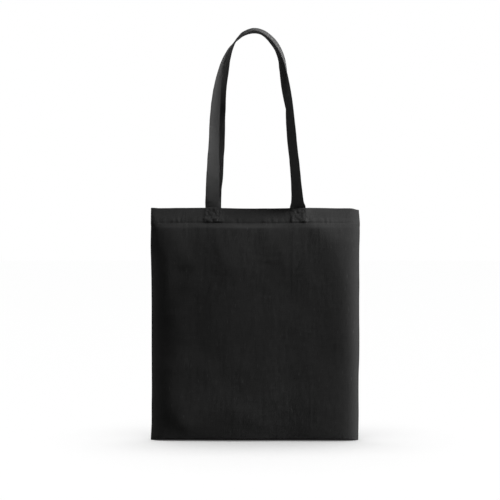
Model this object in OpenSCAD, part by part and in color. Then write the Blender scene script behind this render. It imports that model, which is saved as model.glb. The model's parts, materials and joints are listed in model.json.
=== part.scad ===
// Cotton canvas tote bag with two long handles, standing with its handles up.
// Millimetres. X runs from left to right, Y from front to back and Z up.
// The origin is on the floor, under the middle of the bag.

/* [Bag] */
// Width across the two side seams
bag_width = 376; // [300:2:440]
// Height from the floor to the top edge
bag_height = 420; // [350:5:500]
// Depth of the bag at the floor
base_depth = 24; // [18:1:28]
// Depth where the bag is fullest
full_depth = 36; // [30:1:50]
// Height above the floor at which it is fullest
full_height = 180; // [120:5:240]
// Depth between the top edges, across the open mouth
mouth_depth = 22; // [20:1:28]
// How sharply a panel turns back to its side seams, as the power of the curve
side_turn = 13; // [4:1:16]
// Radius at which a panel turns under to the bottom seam
bottom_radius = 3; // [2:0.5:6]

/* [Cloth and seams] */
// Thickness of the canvas
cloth_t = 0.6; // [0.4:0.1:0.8]
// Height of the hem that is folded in at the mouth
hem_height = 30; // [24:1:40]
// Number of cloth layers in the folded part of the hem
hem_layers = 2; // [1:1:2]
// Width of the cloth turned inside at the side and bottom seams
seam_allowance = 10; // [6:0.5:14]
// Thickness of the thread that binds the raw edges
overlock_d = 1.2; // [0.8:0.1:1.6]

/* [Handles] */
// Width of the folded canvas strap
strap_width = 27; // [20:1:30]
// Thickness of the strap
strap_t = 1.6; // [1:0.1:2.2]
// Distance between the centres of the front handle's ends
front_spacing = 155; // [120:1:180]
// Distance between the centres of the back handle's ends
back_spacing = 152; // [120:1:180]
// Height of the front handle's crown above the top edge
front_rise = 322; // [240:2:360]
// Height of the back handle's crown above the top edge
back_rise = 323; // [240:2:360]
// Length of each strap end inside the hem
strap_end_length = 26; // [22:1:38]

/* [Stitching] */
// Thickness of the sewing thread
thread_d = 0.5; // [0.3:0.1:0.7]
// Length of one stitch
stitch_length = 3; // [2:0.25:4]
// Space between two stitches
stitch_gap = 0.7; // [0.4:0.1:1.5]
// Distance from a sewn edge to its row of stitches
stitch_inset = 2.5; // [1.5:0.25:4]
// Side of the stitched square on each strap end
box_size = 20; // [12:0.5:20]

/* [Hidden] */

FRONT = -1;
BACK = 1;
LEFT = -1;
RIGHT = 1;
UP = [0, 0, 1];

CANVAS = [0.09, 0.09, 0.09];
STRAP_CANVAS = [0.15, 0.15, 0.15];
THREAD = [0.24, 0.24, 0.24];

// Space between pieces that are sewn together, each modelled as its own solid
sewn_gap = 0.3;
// Space between a thread and the cloth that it lies on
thread_gap = 0.15;
// Space between the panel and the cloth folded in behind it
fold_gap = 0.05;

half_width = bag_width / 2;
hem_bottom = bag_height - hem_height;
hem_stitch_z = hem_bottom + stitch_inset;
// Thickness of the whole hem: the panel and the cloth folded in behind it
hem_stack = cloth_t + fold_gap + hem_layers * cloth_t;
// Distance from the middle of the bag to a panel's raw edge at the bottom seam
seam_half = cloth_t + sewn_gap;
// Half the thickness of the bag at its side seams, with the turned-in cloth between the panels
edge_half = seam_half + cloth_t + fold_gap * 4;

panel_columns = 28;
panel_rows = 11;
corner_steps = 4;
route_steps = 3;
// Columns of the panel that the hem leaves out at each side seam, where the bag is too thin for it
hem_skips = 2;

// Each handle's line from its left end to its right end. A row holds the place across, as a share
// of half the spacing, the height, as a share of the rise, and the turn of the strap out of the
// bag's plane, in degrees: at 0 it is flat to the bag and at 90 edge on.
front_route = [
    [-1.00, 0.00, 0], [-1.00, 0.03, 0], [-1.00, 0.055, 10], [-1.00, 0.10, 20], [-0.99, 0.22, 33],
    [-0.97, 0.36, 47], [-0.95, 0.49, 51], [-0.91, 0.62, 58], [-0.845, 0.73, 69],
    [-0.745, 0.825, 83], [-0.61, 0.893, 92], [-0.455, 0.935, 102], [-0.345, 0.962, 108],
    [-0.26, 0.981, 110], [-0.04, 1.00, 109], [0.19, 0.985, 111], [0.40, 0.945, 110],
    [0.56, 0.89, 107], [0.67, 0.82, 101], [0.74, 0.73, 89], [0.78, 0.62, 72], [0.80, 0.51, 58],
    [0.845, 0.38, 53], [0.905, 0.25, 53], [0.943, 0.15, 48], [0.975, 0.07, 31], [1.00, 0.03, 0],
    [1.00, 0.00, 0]
];
back_route = [
    [-1.00, 0.00, 0], [-1.00, 0.03, 0], [-0.99, 0.10, -4], [-0.952, 0.18, -8], [-0.926, 0.297, -15],
    [-0.90, 0.40, -21], [-0.893, 0.50, -18], [-0.893, 0.555, 0], [-0.872, 0.61, 24],
    [-0.82, 0.69, 42], [-0.752, 0.765, 53], [-0.683, 0.84, 62], [-0.608, 0.892, 71],
    [-0.50, 0.938, 81], [-0.37, 0.97, 87], [-0.22, 0.991, 90], [-0.05, 1.00, 91], [0.11, 0.995, 92],
    [0.25, 0.976, 95], [0.38, 0.945, 99], [0.511, 0.902, 104], [0.605, 0.85, 110],
    [0.655, 0.79, 115], [0.69, 0.72, 117], [0.735, 0.655, 116], [0.786, 0.57, 108],
    [0.817, 0.479, 90], [0.85, 0.388, 68], [0.895, 0.297, 58], [0.941, 0.206, 53],
    [0.973, 0.13, 44], [0.99, 0.07, 26], [1.00, 0.03, 0], [1.00, 0.00, 0]
];

// ---- The shape of the bag -------------------------------------------------------------------

// Share of the depth that is left at x: 1 in the middle and 0 at the side seams
function side_share(x) = 1 - pow(abs(x) / half_width, side_turn);

// Half the bag's depth at height z, in its middle
function half_depth(z) =
    z < full_height
        ? (base_depth + (full_depth - base_depth) * sin(90 * z / full_height)) / 2
        : (mouth_depth + (full_depth - mouth_depth)
            * cos(90 * (z - full_height) / (bag_height - full_height))) / 2;

// Distance from the middle of the bag to the outer face of either panel
function outer_y(x, z) = edge_half + (half_depth(z) - edge_half) * side_share(x);

// Distance from the middle of the bag to the inner face of the hem
function hem_inner_y(x, z) = outer_y(x, z) - hem_stack;

// Distance from the middle of the bag to the middle of a strap's thickness, where it is sewn in
function strap_y(spacing, z) =
    hem_inner_y((spacing + strap_width) / 2, z) - sewn_gap - strap_t / 2;

// Places across the bag, closer together near the side seams
columns = [for (i = [0:panel_columns]) half_width * sin(90 * (2 * i / panel_columns - 1))];

// ---- Solids from rings of points ------------------------------------------------------------

function reverse(list) = [for (i = [len(list) - 1:-1:0]) list[i]];

// A ring of the front half, or the same ring turned over to the back half
function on_side(side, ring) =
    side == FRONT ? ring : reverse([for (p = ring) [p.x, -p.y, p.z]]);

// Closed solid through rings of equal length. Each ring runs along one face and back along the
// other, and a strip between the two closes each end. Both faces are split along the same
// diagonals, so layers that lie on each other fit.
module skin(rings) {
    n = len(rings[0]);
    last = (len(rings) - 1) * n;
    walls = [for (i = [0:len(rings) - 2], j = [0:n - 1])
        let (a = i * n + j, b = i * n + (j + 1) % n)
        each j < n / 2
            ? [[a, b + n, a + n], [a, b, b + n]]
            : [[a, b, a + n], [a + n, b, b + n]]];
    ends = [for (j = [0:n / 2 - 2])
        let (a = j, b = j + 1, c = n - 2 - j, d = n - 1 - j)
        each [
            [a, c, b], [a, d, c],
            [last + a, last + b, last + c], [last + a, last + c, last + d]
        ]];
    polyhedron([for (ring = rings) each ring], concat(walls, ends));
}

// ---- Panels, hems and seams -----------------------------------------------------------------

// One face of the front panel at x, from the bottom seam along the floor, round the corner, up to
// the hem and on to the top edge. The inset is 0 for the outer face and the cloth's thickness for
// the inner one.
function panel_face(x, inset) =
    let (
        corner = min(bottom_radius, 0.7 * (outer_y(x, 0) - seam_half)),
        r = max(corner - inset, fold_gap),
        corner_y = outer_y(x, corner) - inset - r,
        corner_z = inset + r
    )
    concat(
        [[x, -seam_half, inset]],
        [for (i = [0:corner_steps])
            let (angle = 90 * i / corner_steps)
            [x, -corner_y - r * sin(angle), corner_z - r * cos(angle)]],
        [for (i = [1:panel_rows])
            let (z = corner_z + (hem_bottom - corner_z) * i / panel_rows)
            [x, inset - outer_y(x, z), z]],
        [[x, inset - outer_y(x, bag_height), bag_height]]
    );

module panel(side) {
    skin([for (x = columns)
        on_side(side, concat(panel_face(x, 0), reverse(panel_face(x, cloth_t))))]);
}

module hem(side) {
    skin([for (i = [hem_skips:panel_columns - hem_skips])
        let (x = columns[i])
        on_side(side, [
            for (z = [hem_bottom, bag_height]) [x, cloth_t + fold_gap - outer_y(x, z), z],
            for (z = [bag_height, hem_bottom]) [x, -hem_inner_y(x, z), z]
        ])]);
}

// The two raw edges of a side seam, pressed together between the panels
module side_allowance(end) {
    bottom = cloth_t + sewn_gap;
    translate([end == LEFT ? -half_width : half_width - seam_allowance, -cloth_t, bottom])
        cube([seam_allowance, 2 * cloth_t, hem_bottom - sewn_gap - bottom]);
}

// Half the length of the bottom seam's allowance, which ends beside the side seams' threads
bottom_half = half_width - seam_allowance - overlock_d - 2 * sewn_gap;

module thread_bead(p, q, d) {
    run = q - p;
    translate(p)
        rotate([0, acos(run.z / norm(run)), atan2(run.y, run.x)])
            cylinder(d = d, h = norm(run), $fn = 24);
}

module side_overlock(end) {
    x = end * (half_width - seam_allowance - thread_gap - overlock_d / 2);
    thread_bead([x, 0, cloth_t + sewn_gap], [x, 0, hem_bottom - sewn_gap], overlock_d);
}

// ---- Stitching ------------------------------------------------------------------------------

// Point on the outer face of a panel, or on the inner face of a strap end, under a thread
function panel_thread(side, x, z) = [x, side * (outer_y(x, z) + thread_gap + thread_d / 2), z];
function strap_end_thread(side, spacing, x, z) =
    [x, side * (strap_y(spacing, z) - strap_t / 2 - thread_gap - thread_d / 2), z];

// Row of stitches that fills the line from p to q
module stitch_row(p, q) {
    count = floor(norm(q - p) / (stitch_length + stitch_gap));
    pitch = (q - p) / count;
    part = stitch_length / norm(pitch);
    for (i = [0:count - 1])
        thread_bead(p + pitch * (i + (1 - part) / 2), p + pitch * (i + (1 + part) / 2), thread_d);
}

module hem_stitching(side) {
    reach = columns[panel_columns - hem_skips];
    pitch = stitch_length + stitch_gap;
    count = floor(reach / pitch);
    for (i = [-count:count - 1])
        thread_bead(
            panel_thread(side, i * pitch + stitch_gap / 2, hem_stitch_z),
            panel_thread(side, (i + 1) * pitch - stitch_gap / 2, hem_stitch_z),
            thread_d
        );
}

// ---- Handles --------------------------------------------------------------------------------

// A straight piece of strap, sewn to the inside of the hem
module strap_end(side, end, spacing) {
    x = end * spacing / 2;
    skin([for (z = [bag_height - strap_end_length, bag_height])
        let (y = side * strap_y(spacing, z))
        [
            [x - strap_width / 2, y - strap_t / 2, z], [x - strap_width / 2, y + strap_t / 2, z],
            [x + strap_width / 2, y + strap_t / 2, z], [x + strap_width / 2, y - strap_t / 2, z]
        ]]);
}

// A stitched square with crossed diagonals, on both faces of the hem, through a strap end
module box_stitching(side, end, spacing) {
    x = end * spacing / 2;
    z = bag_height - strap_end_length / 2;
    half = box_size / 2;
    corners = [[-half, -half], [half, -half], [half, half], [-half, half]];
    start = half / box_size * stitch_gap;
    for (face = [0, 1], line = [[0, 1], [1, 2], [2, 3], [3, 0], [0, 2], [1, 3]]) {
        a = corners[line[0]];
        b = corners[line[1]];
        ends = [for (c = [a + (b - a) * start / half, b - (b - a) * start / half])
            face == 0
                ? panel_thread(side, x + c[0], z + c[1])
                : strap_end_thread(side, spacing, x + c[0], z + c[1])];
        stitch_row(ends[0], ends[1]);
    }
}

// Smooth curve through rows of numbers, with the given number of steps from each row to the next
function smooth_step(rows, i, t) =
    let (
        a = rows[max(i - 1, 0)], b = rows[i], c = rows[i + 1], d = rows[min(i + 2, len(rows) - 1)]
    )
    b + (c - a) * t / 2 + (2 * a - 5 * b + 4 * c - d) * t * t / 2
        + (3 * b - a - 3 * c + d) * t * t * t / 2;
function smooth(rows, steps) = [
    for (i = [0:len(rows) - 2], k = [0:steps - 1]) smooth_step(rows, i, k / steps),
    rows[len(rows) - 1]
];

// The line of a handle as points and the turn of the strap at each. The further the strap turns
// edge on, the further it leans out from the middle, so that the two handles stay apart.
function handle_line(side, route, spacing, rise) = [
    for (row = smooth(route, route_steps))
        let (lean = norm([strap_y(spacing, bag_height), strap_width / 2 * sin(row[2])]))
        [
            [row[0] * spacing / 2, side * lean, bag_height + sewn_gap + row[1] * rise],
            row[2]
        ]
];

function unit(v) = v / norm(v);

// The strap's direction along its width, and out of its face, at point i of its line
function strap_frame(side, line, i) =
    let (
        along = i == 0 ? UP : i == len(line) - 1 ? -UP : unit(line[i + 1][0] - line[i - 1][0]),
        outward = unit(cross(along, [0, 1, 0])),
        edge_on = cross(along, outward) * -side,
        wide = outward * cos(line[i][1]) + edge_on * sin(line[i][1])
    )
    [wide, cross(along, wide)];

// A band that follows a handle's line, from one place across its width to another and from one
// height above its middle to another, less a few steps at each end
module band(side, line, across, above, short = 0) {
    skin([for (i = [short:len(line) - 1 - short])
        let (frame = strap_frame(side, line, i), p = line[i][0])
        [
            p + frame[0] * across[0] + frame[1] * above[0],
            p + frame[0] * across[0] + frame[1] * above[1],
            p + frame[0] * across[1] + frame[1] * above[1],
            p + frame[0] * across[1] + frame[1] * above[0]
        ]]);
}

module strap(side, line) {
    band(side, line, [-strap_width / 2, strap_width / 2], [-strap_t / 2, strap_t / 2]);
}

// Rows along both edges of a strap, on both its faces. They stop short of the strap's two ends, so
// that they clear the hem when the handle swings over.
module strap_stitching(side, line) {
    row = strap_width / 2 - stitch_inset;
    low = strap_t / 2 + sewn_gap;
    for (place = [-row, row], face = [-1, 1])
        band(side, line, [place - thread_d / 2, place + thread_d / 2],
            face < 0 ? [-low - thread_d, -low] : [low, low + thread_d], 1);
}

front_line = handle_line(FRONT, front_route, front_spacing, front_rise);
back_line = handle_line(BACK, back_route, back_spacing, back_rise);

// ---- The pieces -----------------------------------------------------------------------------

module front_panel() { color(CANVAS) panel(FRONT); }
module back_panel() { color(CANVAS) panel(BACK); }
module front_hem() { color(CANVAS) hem(FRONT); }
module back_hem() { color(CANVAS) hem(BACK); }

module left_seam_allowance() { color(CANVAS) side_allowance(LEFT); }
module right_seam_allowance() { color(CANVAS) side_allowance(RIGHT); }
module bottom_seam_allowance() {
    color(CANVAS)
        translate([-bottom_half, -cloth_t, sewn_gap])
            cube([2 * bottom_half, 2 * cloth_t, seam_allowance - sewn_gap]);
}

module left_seam_overlock() { color(THREAD) side_overlock(LEFT); }
module right_seam_overlock() { color(THREAD) side_overlock(RIGHT); }
module bottom_seam_overlock() {
    z = seam_allowance + thread_gap + overlock_d / 2;
    color(THREAD) thread_bead([-bottom_half, 0, z], [bottom_half, 0, z], overlock_d);
}

module front_hem_stitching() { color(THREAD) hem_stitching(FRONT); }
module back_hem_stitching() { color(THREAD) hem_stitching(BACK); }

module front_left_strap_end() { color(STRAP_CANVAS) strap_end(FRONT, LEFT, front_spacing); }
module front_right_strap_end() { color(STRAP_CANVAS) strap_end(FRONT, RIGHT, front_spacing); }
module back_left_strap_end() { color(STRAP_CANVAS) strap_end(BACK, LEFT, back_spacing); }
module back_right_strap_end() { color(STRAP_CANVAS) strap_end(BACK, RIGHT, back_spacing); }

module front_left_box_stitching() { color(THREAD) box_stitching(FRONT, LEFT, front_spacing); }
module front_right_box_stitching() { color(THREAD) box_stitching(FRONT, RIGHT, front_spacing); }
module back_left_box_stitching() { color(THREAD) box_stitching(BACK, LEFT, back_spacing); }
module back_right_box_stitching() { color(THREAD) box_stitching(BACK, RIGHT, back_spacing); }

module front_strap() { color(STRAP_CANVAS) strap(FRONT, front_line); }
module front_strap_stitching() { color(THREAD) strap_stitching(FRONT, front_line); }
module back_strap() { color(STRAP_CANVAS) strap(BACK, back_line); }
module back_strap_stitching() { color(THREAD) strap_stitching(BACK, back_line); }

front_panel();
back_panel();
front_hem();
back_hem();
left_seam_allowance();
right_seam_allowance();
bottom_seam_allowance();
left_seam_overlock();
right_seam_overlock();
bottom_seam_overlock();
front_hem_stitching();
back_hem_stitching();
front_left_strap_end();
front_right_strap_end();
back_left_strap_end();
back_right_strap_end();
front_left_box_stitching();
front_right_box_stitching();
back_left_box_stitching();
back_right_box_stitching();
front_strap();
front_strap_stitching();
back_strap();
back_strap_stitching();
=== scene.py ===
"""A black canvas tote bag with two long handles: cloth, straps, thread, floor, lamps and camera."""

import json
from functools import partial
from math import cos, pi, radians, sin

import bmesh
import bpy
import numpy as np
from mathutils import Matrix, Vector

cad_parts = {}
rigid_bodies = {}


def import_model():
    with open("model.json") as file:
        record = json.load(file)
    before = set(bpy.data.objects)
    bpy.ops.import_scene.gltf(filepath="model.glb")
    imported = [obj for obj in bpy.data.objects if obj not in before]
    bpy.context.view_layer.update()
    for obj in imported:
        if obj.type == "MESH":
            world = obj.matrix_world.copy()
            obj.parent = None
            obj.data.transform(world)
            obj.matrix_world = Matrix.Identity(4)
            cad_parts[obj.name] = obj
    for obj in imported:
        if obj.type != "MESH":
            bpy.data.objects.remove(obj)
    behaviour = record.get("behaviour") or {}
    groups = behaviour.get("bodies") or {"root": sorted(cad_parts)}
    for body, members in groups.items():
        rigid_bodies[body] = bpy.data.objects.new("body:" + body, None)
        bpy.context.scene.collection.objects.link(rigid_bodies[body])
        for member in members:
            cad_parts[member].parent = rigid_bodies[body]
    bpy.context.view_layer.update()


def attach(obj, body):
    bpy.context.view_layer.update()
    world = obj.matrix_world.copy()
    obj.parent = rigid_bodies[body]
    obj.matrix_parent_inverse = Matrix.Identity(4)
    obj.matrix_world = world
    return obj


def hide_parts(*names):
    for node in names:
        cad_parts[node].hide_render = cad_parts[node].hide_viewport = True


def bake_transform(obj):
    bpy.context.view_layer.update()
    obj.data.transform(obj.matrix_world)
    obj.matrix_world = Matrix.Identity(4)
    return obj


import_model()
scene = bpy.context.scene


def add_object(name, data):
    """A new object of the scene, at the origin."""
    made = bpy.data.objects.new(name, data)
    scene.collection.objects.link(made)
    return made


# ---- Camera ----

CAMERA_PLACE = (-0.010, -2.3, 0.344)
CAMERA_LENS = 91.3
CAMERA_SENSOR = 36

camera_data = bpy.data.cameras.new("front_camera")
camera_data.lens = CAMERA_LENS
camera_data.sensor_width = CAMERA_SENSOR
camera = add_object("front_camera", camera_data)
camera.location = CAMERA_PLACE
camera.rotation_euler = (radians(90), 0, 0)
scene.camera = camera

# ---- Sizes, in metres ----

FRONT, BACK = -1, 1
LEFT, RIGHT = -1, 1
SIDES = {FRONT: "front", BACK: "back"}
ENDS = {LEFT: "left", RIGHT: "right"}

HALF_WIDTH = 0.188
BAG_HEIGHT = 0.42
BASE_DEPTH, FULL_DEPTH, MOUTH_DEPTH = 0.024, 0.036, 0.022
FULL_HEIGHT = 0.18
SIDE_TURN = 22                    # the higher, the more sharply a panel turns back at its sides
SIDE_X = 0.187                    # how far across the cloth's middle reaches before it turns
BOTTOM_RADIUS = 0.003

CLOTH_T = 0.0006
HALF_T = CLOTH_T / 2
LAYER = 0.00065                   # from the middle of one layer of cloth to the next
SEAM_Y = 0.00035                  # from the middle of the bag to a seam's layer on either side
LOWEST = 0.00031                  # the cloth's middle comes no lower than this
SEAM_ALLOWANCE = 0.010
SEAM_START = 0.0105               # the side seams' allowances begin at this height
EDGE_HALF = 0.0017                # half of the bag's depth at its side seams
HEM_EDGE_EXTRA = 0.0009           # the hem's layers make them thicker
HEM_EDGE_FROM, HEM_EDGE_OVER = 0.386, 0.006
HEM_BOTTOM = 0.39
HEM_STITCH_Z = 0.3925
HEM_STITCH_REACH = 0.1835
HEM_STACK = 0.00185               # through all layers of the hem
TURNED_UNDER = 0.009              # the hem's raw edge
FACE_TOP = BAG_HEIGHT - HALF_T - LAYER

STRAP_WIDTH, STRAP_T = 0.027, 0.0016
HALF_STRAP = STRAP_WIDTH / 2
STRAP_END = 0.026                 # how much of each end is sewn inside the hem
SEWN_GAP = 0.0003                 # from a strap's face to the hem that it is sewn to
SPACING = {FRONT: 0.155, BACK: 0.152}  # from the middle of one end to that of the other
RISE = {FRONT: 0.321, BACK: 0.322}  # from the mouth to the top of the strap's middle

THREAD_D = 0.0005
THREAD_LIFT = 0.00005             # the hem's and boxes' thread stands out this far from the cloth
STITCH_PITCH = 0.0037
STITCH_LENGTH = 0.0030
STITCH_INSET = 0.0025             # from a strap's edge to the row of stitches along it
BOX_SIZE = 0.020                  # the square that is sewn through each strap end

# Rows of a handle's route: place across as a share of half the spacing, height as a share of the
# rise, and the turn of the strap in degrees
ROUTES = {
    FRONT: [
        (-1.00, 0.00, 0), (-1.004, 0.02, 6), (-1.008, 0.045, 18), (-1.004, 0.10, 27),
        (-0.99, 0.22, 35), (-0.97, 0.36, 47), (-0.95, 0.49, 51), (-0.91, 0.62, 58),
        (-0.845, 0.73, 69), (-0.745, 0.825, 83), (-0.61, 0.893, 92), (-0.455, 0.935, 102),
        (-0.345, 0.962, 108), (-0.26, 0.981, 110), (-0.04, 1.00, 109), (0.19, 0.985, 111),
        (0.40, 0.945, 110), (0.56, 0.89, 107), (0.67, 0.82, 101), (0.74, 0.73, 89),
        (0.78, 0.62, 72), (0.80, 0.51, 58), (0.845, 0.38, 53), (0.905, 0.25, 53),
        (0.943, 0.15, 49), (0.972, 0.07, 43), (0.985, 0.03, 35), (0.996, 0.012, 17),
        (1.00, 0.00, 0),
    ],
    BACK: [
        (-1.00, 0.00, 0), (-1.00, 0.03, 0), (-0.99, 0.10, -4), (-0.952, 0.18, -8),
        (-0.926, 0.297, -15), (-0.90, 0.40, -21), (-0.893, 0.50, -18), (-0.893, 0.555, 0),
        (-0.872, 0.61, 24), (-0.82, 0.69, 42), (-0.752, 0.765, 53), (-0.683, 0.84, 62),
        (-0.608, 0.892, 71), (-0.50, 0.938, 81), (-0.37, 0.97, 87), (-0.22, 0.991, 90),
        (-0.05, 1.00, 91), (0.11, 0.995, 92), (0.25, 0.976, 95), (0.38, 0.945, 99),
        (0.511, 0.902, 104), (0.605, 0.85, 110), (0.655, 0.79, 115), (0.69, 0.72, 117),
        (0.735, 0.655, 116), (0.786, 0.57, 108), (0.817, 0.479, 90), (0.85, 0.388, 68),
        (0.895, 0.297, 58), (0.941, 0.206, 53), (0.970, 0.13, 48), (0.985, 0.07, 45),
        (0.992, 0.03, 37), (0.998, 0.012, 17), (1.00, 0.00, 0),
    ],
}


# ---- Small helpers ----

def ramp(t):
    """0 below 0, 1 above 1, and a smooth rise between."""
    t = np.clip(t, 0, 1)
    return t * t * (3 - 2 * t)


def band(t, low, high, soft):
    """1 from low to high, falling to 0 over soft on either side."""
    return ramp((t - low) / soft + 1) * ramp((high - t) / soft + 1)


def peak(t, middle, width):
    """1 at the middle, falling softly to nearly 0 at twice the width on either side."""
    return np.exp(-((t - middle) / width) ** 2)


def peaks(t, rows):
    """Soft bumps along a line, each with its place, width and height."""
    return sum(height * peak(t, place, width) for place, width, height in rows)


def past(t, soft):
    """0 below 0 and t above it, with a soft bend between."""
    return soft * np.logaddexp(0, t / soft)


def clear_of_sides(x, power, edge=HALF_WIDTH):
    """1 in the middle of the bag and 0 at its sides: the higher the power, the later it falls."""
    return 1 - np.clip(np.abs(x) / edge, 0, 1) ** power


def read_line(at, line, reach=0.0):
    """The value at a place on a line of (place in millimetres, value), evened over the reach."""
    places, values = zip(*line)
    shifts = np.linspace(-reach, reach, 5) if reach else (0,)
    return sum(np.interp(1000 * (at + shift), places, values) for shift in shifts) / len(shifts)


NOISE_SIZE = 64                   # random heights on each side of a noise's table
NOISE_START = (20.37, 11.73)      # where in the table the middle of the bag's floor lies


def noise(x, z, across, up, seed):
    """Smooth random heights from -1 to 1, with bumps about across wide and up high."""
    n, (start_u, start_v) = NOISE_SIZE, NOISE_START
    table = np.random.default_rng(seed).uniform(-1, 1, (n, n))
    u, v = np.asarray(x) / across + start_u, np.asarray(z) / up + start_v
    i, j = np.floor(u).astype(int), np.floor(v).astype(int)
    f, g = u - i, v - j
    f, g = f ** 3 * (f * (6 * f - 15) + 10), g ** 3 * (g * (6 * g - 15) + 10)
    i, j, k, m = i % n, j % n, (i + 1) % n, (j + 1) % n
    low = table[i, j] * (1 - f) + table[k, j] * f
    high = table[i, m] * (1 - f) + table[k, m] * f
    return low * (1 - g) + high * g


def unevenness(x, z, rows, seed):
    """Random heights over each other, each with its height, its widths across and up, and what
    sets its draw apart from the others of the same seed."""
    return sum(height * noise(x, z, across, up, seed + apart) for height, across, up, apart in rows)


def folds(x, z, lines, sharp=False):
    """Ridges of cloth, each from one place to another and as wide as its width on either side.
    They run out at both ends. The lines are in millimetres."""
    out = 0
    for a, b, width, height in lines:
        (ax, az), (dx, dz) = np.array(a) / 1000, np.subtract(b, a) / 1000
        t = np.clip(((x - ax) * dx + (z - az) * dz) / (dx * dx + dz * dz), 0, 1)
        off = np.hypot(x - ax - t * dx, z - az - t * dz) / (width / 1000)
        shape = np.exp(-1.6 * off) if sharp else np.exp(-off * off)
        out = out + height / 1000 * shape * ramp(t * 4) * ramp((1 - t) * 4)
    return out


def lengths_along(line):
    """How far each point of a line lies from its start, along it."""
    return np.append(0, np.cumsum(np.linalg.norm(np.diff(line, axis=0), axis=1)))


# ---- The form of the bag ----

def half_depth(z):
    """Half of the bag's depth, which is fullest a little below the middle of its height."""
    rising = np.sin(pi / 2 * np.clip(z / FULL_HEIGHT, 0, 1))
    falling = np.cos(pi / 2 * np.clip((z - FULL_HEIGHT) / (BAG_HEIGHT - FULL_HEIGHT), 0, 1))
    lower = BASE_DEPTH + (FULL_DEPTH - BASE_DEPTH) * rising
    upper = MOUTH_DEPTH + (FULL_DEPTH - MOUTH_DEPTH) * falling
    return np.where(z < FULL_HEIGHT, lower, upper) / 2


def outer_y(x, z, edge=EDGE_HALF):
    """From the middle of the bag to the outer face of either panel."""
    return edge + (half_depth(z) - edge) * clear_of_sides(x, SIDE_TURN)


def hem_edge(z):
    """Half of the bag's depth at its side seams."""
    return EDGE_HALF + HEM_EDGE_EXTRA * ramp((z - HEM_EDGE_FROM) / HEM_EDGE_OVER)


def strap_y(spacing, z):
    """From the middle of the bag to the middle of a strap's sewn end."""
    return outer_y(spacing / 2 + HALF_STRAP, z) - HEM_STACK - SEWN_GAP - STRAP_T / 2


# Long soft folds that each panel hangs in: both ends, width and height, all in millimetres
SOFT_FOLDS = {
    FRONT: [
        ((-150, 392), (-120, 300), 16, 0.9), ((-77, 388), (-40, 285), 18, 0.8),
        ((-82, 388), (-128, 250), 20, 0.7), ((78, 388), (40, 300), 18, 0.8),
        ((84, 388), (118, 280), 18, -0.4), ((-20, 392), (28, 290), 22, -0.7),
        ((-178, 210), (-120, 330), 16, -0.9), ((-182, 150), (-60, 120), 20, 0.8),
        ((-182, 60), (-110, 20), 14, 0.9), ((-60, 60), (40, 22), 18, 0.7),
        ((60, 90), (175, 30), 20, 0.2), ((150, 60), (182, 140), 12, -0.3),
        ((10, 240), (100, 200), 26, 0.8), ((-90, 180), (-20, 60), 26, -0.8),
    ],
    BACK: [
        ((-140, 390), (-90, 280), 18, 0.9), ((-72, 388), (-30, 270), 18, 0.8),
        ((76, 388), (30, 310), 20, 0.8), ((78, 388), (130, 260), 18, 0.9),
        ((0, 392), (-36, 300), 20, -0.8), ((178, 230), (110, 300), 16, -0.9),
        ((182, 90), (80, 140), 22, 0.8), ((-182, 40), (-90, 24), 14, 0.9),
        ((-40, 120), (60, 90), 24, 0.8), ((-120, 230), (10, 200), 28, -0.8),
        ((60, 60), (160, 20), 16, 0.8), ((-170, 300), (-150, 180), 14, 0.8),
    ],
}

# Fine pressed lines that are left from folding the bag flat for packing, in millimetres
PRESSED_LINES = {
    FRONT: [
        ((99, 4), (99, 132), 1.8, 0.28), ((99, 318), (98, 362), 1.6, 0.20),
        ((66, 240), (67, 390), 2.2, 0.18), ((10, 338), (58, 339), 1.5, 0.22),
        ((2, 301), (100, 302), 1.5, 0.22), ((-184, 207), (-88, 208), 1.6, 0.24),
        ((-60, 100), (-58, 180), 1.8, -0.16), ((-128, 236), (-127, 330), 1.8, 0.18),
        ((0, 154), (34, 154), 1.4, 0.18), ((120, 284), (186, 282), 1.5, 0.22),
        ((150, 222), (186, 221), 1.4, 0.18), ((-176, 332), (-140, 331), 1.4, 0.16),
    ],
    BACK: [
        ((-94, 6), (-94, 388), 1.8, 0.28), ((95, 6), (94, 388), 1.8, 0.26),
        ((-184, 208), (184, 208), 1.7, 0.26), ((-40, 310), (60, 311), 1.5, 0.18),
        ((0, 30), (1, 190), 1.8, -0.16),
    ],
}

# The broad lie of the front's cloth up the bag: height and how far it stands out, in millimetres
BROAD_LIE = [(0, 4.6), (12, 4.5), (40, 3.1), (80, 1.5), (130, 0.1), (160, 0.0), (230, 0.9),
             (300, 1.6), (345, 1.3), (380, 0.4), (420, 0.4)]


def broad_lie(x, z):
    """The front stands out low down and below the hem. Lower down its left third falls back, and
    all but its right end falls back a little."""
    out = read_line(z, BROAD_LIE, 0.016) / 1000 + 0.0012
    left = 0.0036 * ramp((-0.040 - x) / 0.140) * (1 - ramp((z - 0.20) / 0.10))
    right = 0.0012 * ramp((0.165 - x) / 0.075)
    return out - left - right * (1 - ramp((z - 0.22) / 0.12)) * ramp((z - 0.05) / 0.06)


# A panel's unevenness: its broad swells, and small ones which run along the threads
UNEVEN_CLOTH = [(0.0013, 0.12, 0.15, 0), (0.0006, 0.05, 0.07, 20),
                (0.00008, 0.007, 0.018, 40), (0.00010, 0.030, 0.009, 60)]


def swell(side, x, z):
    """How far a panel's cloth stands out from the plain form at a place on it."""
    out = unevenness(x, z, UNEVEN_CLOTH, 10 + side) + folds(x, z, SOFT_FOLDS[side])
    out = out * clear_of_sides(x, 6) * ramp((z - 0.001) / 0.03)
    if side == FRONT:
        out = out + clear_of_sides(x, 14) * broad_lie(x, z)
    return out + folds(x, z, PRESSED_LINES[side], sharp=True) + hem_swell(side, x, z)


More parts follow.
